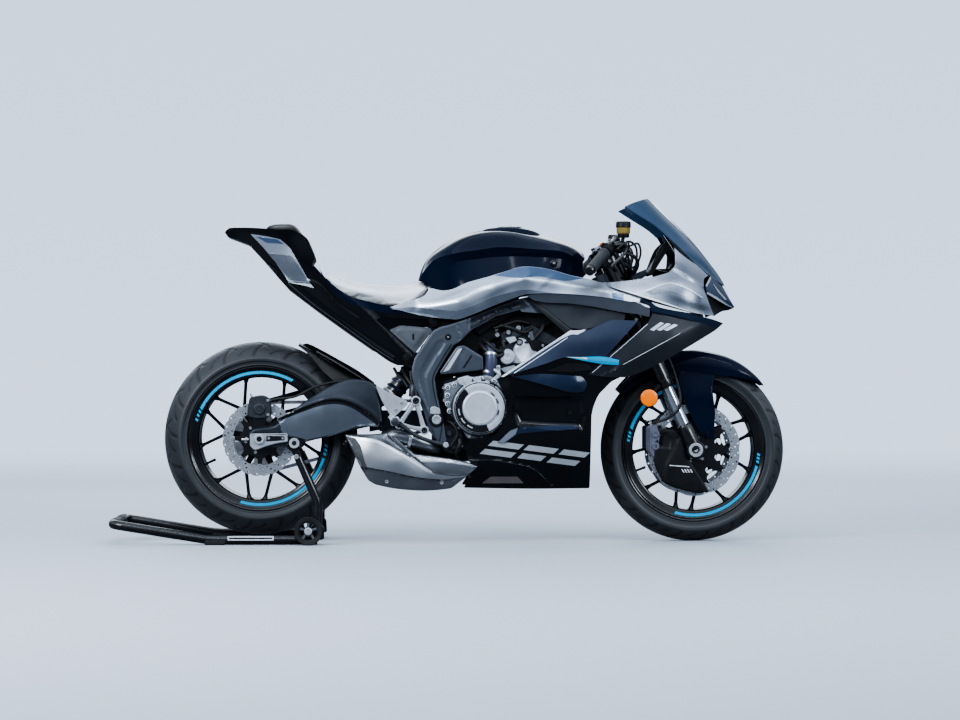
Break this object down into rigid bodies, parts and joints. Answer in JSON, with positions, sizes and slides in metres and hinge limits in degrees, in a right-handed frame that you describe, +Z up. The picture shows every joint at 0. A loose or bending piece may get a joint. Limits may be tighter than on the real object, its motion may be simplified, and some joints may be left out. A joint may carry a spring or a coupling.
{
  "type": "sport motorcycle",
  "caption": "Fully faired sport motorcycle standing on a rear paddock stand, with turning wheels, steering, side stand and fuel cap.",
  "frame": {"origin": "on the floor under the middle of the overall length and width", "axes": "+X forward, +Y to the rider's left, +Z up"},
  "size_m": [2.175, 0.7068, 1.112],
  "materials": {
    "graphite": "satin",
    "black_metal": "satin",
    "silver_paint": "gloss metallic",
    "navy_paint": "gloss",
    "black_gloss": "gloss",
    "dark_grey_plastic": "satin",
    "black_plastic": "matte",
    "steel": "brushed",
    "chrome": "polished",
    "cast_alloy": "satin",
    "dark_alloy": "satin",
    "tyre": "matte",
    "rubber": "matte",
    "seat_cover": "satin",
    "smoked_screen": "gloss",
    "lamp_glass": "gloss"
  },
  "bodies": {
    "chassis": {"main_frame": "graphite", "subframe": "black_metal", "swingarm": "graphite", "pivot_and_axle": "steel", "rear_shock": "black_metal", "rear_hugger": "black_plastic", "rear_caliper": "dark_alloy", "chain": "steel", "engine_block": "dark_alloy", "engine_covers": "cast_alloy", "intake": "black_plastic", "engine_side_box": "dark_grey_plastic", "radiator": "dark_alloy", "exhaust_headers": "steel", "silencer": "steel", "fuel_tank": "navy_paint", "rider_seat": "seat_cover", "tail_cowl": "black_gloss", "tail_trim": "silver_paint", "side_bands": "silver_paint", "mid_panels": "navy_paint", "belly_panels": "black_gloss", "duct_panels": "dark_grey_plastic", "nose_cowl": "silver_paint", "windscreen": "smoked_screen", "headlamps": "lamp_glass", "dash_display": "black_plastic", "footrest_hangers": "cast_alloy", "paddock_stand": "black_gloss"},
    "steering": {"fork_tubes": "black_metal", "fork_sliders": "chrome", "fork_clamps": "black_metal", "handlebars": "black_metal", "grips": "rubber", "hand_controls": "black_plastic", "front_mudguard": "navy_paint", "front_calipers": "dark_alloy", "brake_ducts": "black_plastic"},
    "front_wheel": {"front_rim": "black_metal", "front_tyre": "tyre", "front_discs": "steel"},
    "rear_wheel": {"rear_rim": "black_metal", "rear_tyre": "tyre", "rear_disc": "steel", "rear_sprocket": "steel"},
    "side_stand_leg": {"side_stand": "black_metal"},
    "filler_cap": {"fuel_cap": "black_metal"},
    "left_roller": {"stand_roller_left": "rubber"},
    "right_roller": {"stand_roller_right": "rubber"}
  },
  "joints": [
    {"name": "steering_turn", "type": "hinge", "parent": "chassis", "child": "steering", "pos_m": [0.52292, 0, 0.81061], "axis": [-0.4147, 0, 0.91], "range_deg": [-27, 27]},
    {"name": "front_wheel_spin", "type": "hinge", "parent": "steering", "child": "front_wheel", "pos_m": [0.7895, 0, 0.298], "axis": [0, 1, 0], "continuous": true},
    {"name": "rear_wheel_spin", "type": "hinge", "parent": "chassis", "child": "rear_wheel", "pos_m": [-0.6105, 0, 0.335], "axis": [0, 1, 0], "continuous": true},
    {"name": "side_stand_swing", "type": "hinge", "parent": "chassis", "child": "side_stand_leg", "pos_m": [-0.028, 0.144, 0.304], "axis": [0, -1, 0], "range_deg": [0, 98]},
    {"name": "fuel_cap_lift", "type": "hinge", "parent": "chassis", "child": "filler_cap", "pos_m": [0.237, 0, 1.021], "axis": [0, 1, 0], "range_deg": [0, 95]},
    {"name": "left_roller_spin", "type": "hinge", "parent": "chassis", "child": "left_roller", "pos_m": [-0.452, 0.238, 0.045], "axis": [0, 1, 0], "continuous": true},
    {"name": "right_roller_spin", "type": "hinge", "parent": "chassis", "child": "right_roller", "pos_m": [-0.452, -0.238, 0.045], "axis": [0, 1, 0], "continuous": true}
  ]
}
